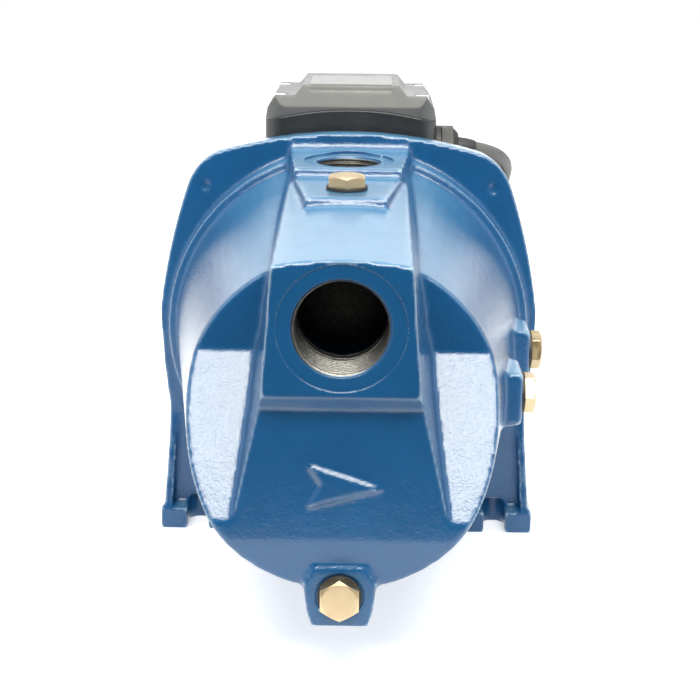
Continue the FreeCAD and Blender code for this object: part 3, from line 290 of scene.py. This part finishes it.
def label_paper(name):
    """Blank white label, slightly mottled."""
    look = Finish(name, roughness=0.6, specular=0.2)
    look.colour(look.mix(look.noise(5 * MM, 4.0), (0.27, 0.28, 0.28), (0.35, 0.35, 0.34)))
    look.bump(look.noise(2.5 * MM), 0.02 * MM)
    return look.done()


SUCTION = MOUNTS["suction_port"]
DISCHARGE = MOUNTS["discharge_port"]
SUCTION_CENTRE = Vector((0, SUCTION_FACE, SUCTION["pos_m"][2]))
PAD_HEIGHT = 209.4 * MM
DISCHARGE_CENTRE = Vector((0, DISCHARGE["pos_m"][1], PAD_HEIGHT))
DRAIN_HEIGHT = 44.3 * MM
DRAIN_CENTRE = Vector((0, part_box("drain_washer")[1].y, DRAIN_HEIGHT))
# each a centre, an axis, a radius and the stretch of the axis between which the iron is bare
BORES = (
    (SUCTION_CENTRE, (0.0, 1.0, 0.0), 21.3 * MM, 1.6 * MM, 30 * MM),
    (SUCTION_CENTRE, (0.0, 1.0, 0.0), 25 * MM, 25 * MM, 75 * MM),
    (DISCHARGE_CENTRE, (0.0, 0.0, -1.0), 17 * MM, 1.2 * MM, 40 * MM))

MATERIALS = {
    "blue_enamel": cast_enamel("cast_enamel", bores=BORES),
    "bracket_enamel": cast_enamel("bracket_enamel", worn_and_highlit_edges=False),
    "brass": machined("turned_brass", (0.56, 0.44, 0.27), 0.34, 0.8 * MM, 0.45),
    "black_rubber": moulded("black_rubber", (0.018, 0.018, 0.02), 0.55, 1.2 * MM, 0.05 * MM),
    "filled_polymer": moulded("filled_polymer", (0.06, 0.06, 0.065), 0.5, 1.0 * MM, 0.05 * MM),
    "zinc_steel": machined("zinc_plated_steel", (0.66, 0.67, 0.68), 0.28, 1.0 * MM, 0.4),
    "stainless": machined("stainless_steel", (0.62, 0.61, 0.60), 0.3, 0.9 * MM),
    "seal_carbon": moulded("seal_carbon", (0.02, 0.02, 0.02), 0.35, 0.7 * MM, 0.02 * MM),
    "seal_ceramic": moulded("seal_ceramic", (0.80, 0.79, 0.74), 0.25, 0.9 * MM, 0.01 * MM),
    "bearing_steel": machined("bearing_steel", (0.60, 0.60, 0.61), 0.16, 0.7 * MM, 0.3),
    "lamination": stacked_steel("lamination"),
    "copper": wound_copper("wound_copper"),
    "motor_grey": moulded("motor_coating", (0.055, 0.060, 0.066), 0.42, 1.3 * MM, 0.08 * MM, 0.3, 0.5),
    "cover_black": moulded("cover_coating", (0.022, 0.023, 0.026), 0.38, 1.1 * MM, 0.05 * MM, 0.25, 0.8),
    "fan_plastic": moulded("fan_plastic", (0.03, 0.03, 0.032), 0.45, 1.5 * MM, 0.04 * MM),
    "box_dark": moulded("box_base_plastic", (0.016, 0.020, 0.023), 0.4, 1.2 * MM, 0.05 * MM, 0.2, 1.0),
    "box_grey": moulded("box_cover_plastic", (0.098, 0.102, 0.099), 0.48, 1.6 * MM, 0.03 * MM, 0.1, 1.6),
    "label_white": label_paper("label_paper"),
    "cream_plastic": moulded("cream_plastic", (0.66, 0.60, 0.47), 0.4, 1.4 * MM, 0.03 * MM, 0.2),
    "gland_black": moulded("gland_plastic", (0.014, 0.015, 0.016), 0.55, 1.0 * MM, 0.05 * MM, 0.0, 0.7),
    "cord_sheath": moulded("cord_sheath", (0.105, 0.105, 0.10), 0.5, 1.2 * MM, 0.05 * MM, 0.15),
    "plug_black": moulded("plug_plastic", (0.02, 0.02, 0.022), 0.35, 1.4 * MM, 0.04 * MM, 0.2, 0.8),
    "plug_nickel": machined("nickel_plate", (0.74, 0.72, 0.66), 0.15, 0.8 * MM, 0.4),
}

for subpart in frame["record"]["subparts"]:
    mesh = nodes[subpart["node"]].data
    mesh.materials.clear()
    mesh.materials.append(MATERIALS[subpart["material_slot"]])


# ---------------------------------------------------------------------------------- mesh helpers

def piece(name, mesh, slot, body="pump"):
    """A new piece with a slot's finish, riding on a body."""
    made = bpy.data.objects.new(name, mesh)
    bpy.context.scene.collection.objects.link(made)
    mesh.materials.clear()
    mesh.materials.append(MATERIALS[slot])
    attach(made, body)
    return made


def drum(made, centre, axis, radius, near, far, segments=96):
    """Adds a closed cylinder along axis from near to far of a point."""
    turn = Vector((0, 0, 1)).rotation_difference(Vector(axis)).to_matrix().to_4x4()
    middle = Vector(centre) + Vector(axis) * (near + far) / 2
    bmesh.ops.create_cone(
        made, cap_ends=True, segments=segments, radius1=radius, radius2=radius, depth=far - near,
        matrix=Matrix.Translation(middle) @ turn)


def evaluated(subject, name):
    """The subject's mesh with its modifiers applied."""
    graph = bpy.context.evaluated_depsgraph_get()
    mesh = bpy.data.meshes.new_from_object(subject.evaluated_get(graph))
    mesh.name = name
    return mesh


# ------------------------------------------------------------------------------------ casing

def even_skin():
    """The casing's mesh with its bores closed, its edges softened and its faces of one size."""
    blank = bmesh.new()
    blank.from_mesh(nodes["pump_body"].data)
    drum(blank, SUCTION_CENTRE, (0, 1, 0), 23 * MM, 0.3 * MM, 26 * MM)
    drum(blank, DISCHARGE_CENTRE, (0, 0, 1), 18.6 * MM, -11 * MM, 0)
    mesh = bpy.data.meshes.new("casing_blank")
    blank.to_mesh(mesh)
    blank.free()
    casing = bpy.data.objects.new("casing_blank", mesh)
    bpy.context.scene.collection.objects.link(casing)
    remesh = casing.modifiers.new("even_skin", "REMESH")
    remesh.mode = "VOXEL"
    remesh.voxel_size = 1.25 * MM
    smooth = casing.modifiers.new("cast_edges", "SMOOTH")
    smooth.factor = 0.5
    smooth.iterations = 4
    fewer = casing.modifiers.new("fewer_faces", "DECIMATE")
    fewer.ratio = 0.42
    casing.data = evaluated(casing, "casing_skin")
    casing.modifiers.clear()
    return casing


def cut_away(casing, name, *drums):
    """Takes cylinders out of the casing: each is what drum() needs."""
    shape = bmesh.new()
    for cylinder in drums:
        drum(shape, *cylinder)
    mesh = bpy.data.meshes.new(name)
    shape.to_mesh(mesh)
    shape.free()
    tool = bpy.data.objects.new(name, mesh)
    bpy.context.scene.collection.objects.link(tool)
    cut = casing.modifiers.new(name, "BOOLEAN")
    cut.operation = "DIFFERENCE"
    cut.solver = "EXACT"
    cut.object = tool
    casing.data = evaluated(casing, "casing_skin")
    casing.modifiers.clear()
    bpy.data.objects.remove(tool)


def cast_casing():
    """The casing with the rounded edges and hollows of a casting; machined faces stay crisp."""
    casing = even_skin()
    cut_away(
        casing, "bores",
        (SUCTION_CENTRE, (0, 1, 0), SUCTION["dims"]["r_mm"] * MM, -5 * MM, 24 * MM),
        (DISCHARGE_CENTRE, (0, 0, 1), DISCHARGE["dims"]["r_mm"] * MM, -24 * MM, 5 * MM))
    cut_away(
        casing, "spotfaces",
        (SUCTION_CENTRE, (0, 1, 0), 27.2 * MM, -5 * MM, 0.45 * MM, 128),
        (DISCHARGE_CENTRE, (0, 0, 1), 22.5 * MM, -0.1 * MM, 5 * MM, 128),
        (DRAIN_CENTRE, (0, -1, 0), 10.6 * MM, 0, 5 * MM))
    cut_away(casing, "suction_passage", (SUCTION_CENTRE, (0, 1, 0), 19.6 * MM, 20 * MM, 28 * MM))
    mesh = casing.data
    bpy.data.objects.remove(casing)
    for face in mesh.polygons:
        face.use_smooth = True
    mesh.set_sharp_from_angle(angle=math.radians(48))
    made = piece("cast_casing", mesh, "blue_enamel")
    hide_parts("pump_body")


def thread(name, centre, axis, major, pitch, length, slot):
    """An internal helical thread as a sleeve just inside a bore, starting at centre, along axis."""
    depth = 0.6403 * pitch
    around, steps = 96, 12
    rows = int(length / pitch * steps)
    turn = Vector((0, 0, 1)).rotation_difference(Vector(axis)).to_matrix()
    made = bmesh.new()
    grid = []
    for row in range(rows + 1):
        along = length * row / rows
        lead_in = min(1.0, (along + 0.2 * pitch) / (1.2 * pitch))
        ring = []
        for step in range(around):
            angle = 2 * math.pi * step / around
            phase = (along / pitch - step / around) % 1.0
            crest = min(1.0, max(0.0, 1.25 - abs(phase - 0.5) * 3.0))
            radius = major - 0.03 * MM - depth * crest * lead_in
            spot = Vector((radius * math.cos(angle), radius * math.sin(angle), along))
            ring.append(made.verts.new(Vector(centre) + turn @ spot))
        grid.append(ring)
    for near, far in zip(grid, grid[1:]):
        for step in range(around):
            after = (step + 1) % around
            made.faces.new((near[step], near[after], far[after], far[step]))
    mesh = bpy.data.meshes.new(name)
    bmesh.ops.recalc_face_normals(made, faces=made.faces)
    made.to_mesh(mesh)
    made.free()
    for face in mesh.polygons:
        face.use_smooth = True
    return piece(name, mesh, slot)


cast_casing()
thread("suction_thread", SUCTION_CENTRE + Vector((0, 0.5 * MM, 0)), (0, 1, 0),
       SUCTION["dims"]["r_mm"] * MM, 2.309 * MM, 22 * MM, "blue_enamel")
thread("discharge_thread", DISCHARGE_CENTRE - Vector((0, 0, 0.2 * MM)), (0, 0, -1),
       DISCHARGE["dims"]["r_mm"] * MM, 2.309 * MM, 12.5 * MM, "blue_enamel")


# -------------------------------------------------------------------------------- mains lead

CORD_DIAMETER = 7.5 * MM
FLOOR = CORD_DIAMETER / 2
COIL_STATION, COIL_PITCH, COIL_OUTER, COIL_INNER = 495, 7.6, 45.6, 30.4
POINTS_PER_TURN = 16
COIL_TURNS = 4.25
# x, station and height in mm: out of the gland, down behind the flange, along the floor to the coil
ROUTE = [
    (46.5, 240, 207), (61, 240, 207), (74.3, 245.1, 204.2), (84.1, 254.6, 199.3), (88.8, 266.2, 192),
    (88.4, 277.1, 182.5), (85.6, 284.1, 169.5), (84, 288, 145.9), (84.5, 289.5, 110), (86.6, 291, 74),
    (88.6, 297, 42), (88.8, 310.5, 20), (86.6, 328, 8.2), (82, 350, 3.75), (73.5, 384, 3.75),
    (60, 423, 3.75), (49.8, 460, 3.75), (45.6, 495, 3.75)]
TAIL = [(-11, 542.8, 11.9), (-22.5, 543.4, 15.4), (-34, 543.8, 17)]


def smooth_step(t):
    t = min(1.0, max(0.0, t))
    return t * t * (3 - 2 * t)


def coil_point(degrees):
    """A control point of the coil: it spirals in on the floor for two turns, then out on top."""
    if degrees < 720:
        radius = COIL_OUTER - COIL_PITCH * degrees / 360
    else:
        radius = COIL_INNER + COIL_PITCH * (degrees - 720) / 360
    height = CORD_DIAMETER / MM / 2 + COIL_PITCH * smooth_step((degrees - 620) / 90)
    reach = radius / (0.75 + 0.25 * math.cos(2 * math.pi / POINTS_PER_TURN))
    angle = math.radians(degrees)
    return (reach * math.cos(angle), COIL_STATION + reach * math.sin(angle), height)


def placed(route):
    return [Vector((x * MM, station(along), height * MM)) for x, along, height in route]


def flexible(name, points, radii, slot):
    """A round flexible piece along control points, with a radius at each."""
    curve = bpy.data.curves.new(name, "CURVE")
    curve.dimensions = "3D"
    curve.bevel_depth = 1.0
    curve.bevel_resolution = 5
    curve.resolution_u = 6
    curve.use_fill_caps = True
    spline = curve.splines.new("NURBS")
    spline.points.add(len(points) - 1)
    for spot, point, radius in zip(spline.points, points, radii):
        spot.co = (*point, 1)
        spot.radius = radius
    spline.order_u = 3
    spline.use_endpoint_u = True
    curve.materials.append(MATERIALS[slot])
    made = bpy.data.objects.new(name, curve)
    bpy.context.scene.collection.objects.link(made)
    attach(made, "pump")
    return made


def mains_lead():
    steps = int(COIL_TURNS * POINTS_PER_TURN)
    turns = [coil_point(360 / POINTS_PER_TURN * step) for step in range(1, steps + 1)]
    points = placed(ROUTE + turns + TAIL)
    lead = flexible("mains_lead", points, [CORD_DIAMETER / 2] * len(points), "cord_sheath")
    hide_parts("power_cord", "cord_coil", "cord_tail")
    # the strain relief bends with the cord's first stretch and thins out along it
    sleeve = [points[0], points[1], (points[1] + points[2]) / 2]
    relief = flexible("strain_relief", sleeve, [5.65 * MM, 5.4 * MM, 4.4 * MM], "black_rubber")
    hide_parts("cord_relief")


mains_lead()


# ------------------------------------------------------------------------- camera and studio

def camera():
    """Stands in front of the suction port, a little above, looking slightly down."""
    pitch, heading, roll = math.radians(16.5), math.radians(-0.695), math.radians(0.587)
    forward = Vector((math.sin(heading), math.cos(heading), 0)) * math.cos(pitch)
    look = forward - Vector((0, 0, math.sin(pitch)))
    level = Vector((math.cos(heading), -math.sin(heading), 0))
    above = level.cross(look)
    right = level * math.cos(roll) + above * math.sin(roll)
    up = above * math.cos(roll) - level * math.sin(roll)
    data = bpy.data.cameras.new("camera")
    data.sensor_width = 36
    data.lens = 77.14
    data.clip_start = 0.01
    made = bpy.data.objects.new("camera", data)
    bpy.context.scene.collection.objects.link(made)
    spot = Vector((0.0107, SUCTION_FACE - 0.58906, 0.33387))
    made.matrix_world = Matrix((
        (right.x, up.x, -look.x, spot.x), (right.y, up.y, -look.y, spot.y),
        (right.z, up.z, -look.z, spot.z), (0, 0, 0, 1)))
    bpy.context.scene.camera = made


def flat_finish(name, shade, glow=0.0, tint=(1.0, 1.0, 1.0)):
    look = Finish(name, roughness=0.9)
    look.varied(shade, 0.01, 300 * MM)
    if glow:
        look.shader.inputs["Emission Color"].default_value = (*tint, 1)
        look.shader.inputs["Emission Strength"].default_value = glow
    return look.done()


CAMERA, GLOSSY, DIFFUSE, SHADOW = "visible_camera", "visible_glossy", "visible_diffuse", "visible_shadow"


def panel(name, centre, across, along, finish, rays=(CAMERA, GLOSSY, DIFFUSE, SHADOW)):
    """A rectangle of studio cloth or card, seen by some kinds of rays; across and along are half sides."""
    mesh = bpy.data.meshes.new(name)
    centre, across, along = Vector(centre), Vector(across), Vector(along)
    corners = [
        centre - across - along, centre + across - along,
        centre + across + along, centre - across + along]
    mesh.from_pydata(corners, [], [(0, 1, 2, 3)])
    mesh.materials.append(finish)
    made = bpy.data.objects.new(name, mesh)
    bpy.context.scene.collection.objects.link(made)
    for kind in (CAMERA, GLOSSY, DIFFUSE, SHADOW):
        setattr(made, kind, kind in rays)


def soft_light(name, spot, target, size, power, mirrored=True):
    """An area light; one that isn't mirrored lights surfaces without showing in their gloss."""
    data = bpy.data.lights.new(name, "AREA")
    data.shape = "RECTANGLE"
    data.size, data.size_y = size
    data.energy = power
    made = bpy.data.objects.new(name, data)
    made.location = spot
    made.rotation_euler = (Vector(target) - Vector(spot)).to_track_quat("-Z", "Y").to_euler()
    made.visible_glossy = mirrored
    bpy.context.scene.collection.objects.link(made)


def surroundings():
    """White as a backdrop, dimmer as a light source."""
    world = bpy.data.worlds.new("studio")
    bpy.context.scene.world = world
    world.use_nodes = True
    tree = world.node_tree
    backdrop = tree.nodes["Background"]
    backdrop.inputs["Color"].default_value = (1, 1, 1, 1)
    ray = tree.nodes.new("ShaderNodeLightPath")
    strength = tree.nodes.new("ShaderNodeMapRange")
    strength.inputs["To Min"].default_value = 0.55
    strength.inputs["To Max"].default_value = 1.0
    tree.links.new(ray.outputs["Is Camera Ray"], strength.inputs["Value"])
    tree.links.new(strength.outputs["Result"], backdrop.inputs["Strength"])


def studio():
    bpy.context.scene.view_settings.view_transform = "Standard"
    surroundings()
    panel("floor", (0, 0, 0), (4, 0, 0), (0, 4, 0), flat_finish("floor_paper", (0.9, 0.9, 0.9), 0.5))
    dark = flat_finish("dark_cloth", (0.01, 0.01, 0.01))
    bright = flat_finish("bright_card", (0.9, 0.9, 0.9), 1.0)
    brightest = flat_finish("softbox_front", (0.9, 0.9, 0.9), 19.0, (1.0, 0.96, 0.84))
    panel("floor_cloth", (0, SUCTION_FACE - 0.85, 0.001), (0.9, 0, 0), (0, 0.71, 0), dark, (DIFFUSE,))
    panel("mirrored_cloth", (0, SUCTION_FACE - 0.84, 0.002), (0.9, 0, 0), (0, 0.73, 0), dark, (GLOSSY,))
    panel("front_cloth", (0, SUCTION_FACE - 1.5, 0.5), (1.2, 0, 0), (0, 0, 0.5), dark, (GLOSSY, DIFFUSE))
    panel("back_card", (0, 1.6, 0.75), (1.1, 0, 0), (0, 0, 0.55), bright, (GLOSSY,))
    panel("softbox_front", (0.02, -0.80, 1.0), (0.6, 0, 0), (0, 0.20, 0.14), brightest, (GLOSSY,))
    soft_light("front_softbox", (0, -0.77, 1.0), (0, -0.15, 0.11), (1.0, 0.36), 14.5, mirrored=False)
    soft_light("overhead", (0, 0.1, 1.5), (0, 0, 0.1), (1.6, 1.2), 15.5)
    soft_light("left_side", (-1.4, -0.1, 0.7), (0, -0.1, 0.1), (0.9, 1.2), 4)
    soft_light("right_side", (1.4, -0.1, 0.7), (0, -0.1, 0.1), (0.9, 1.2), 4)


camera()
studio()
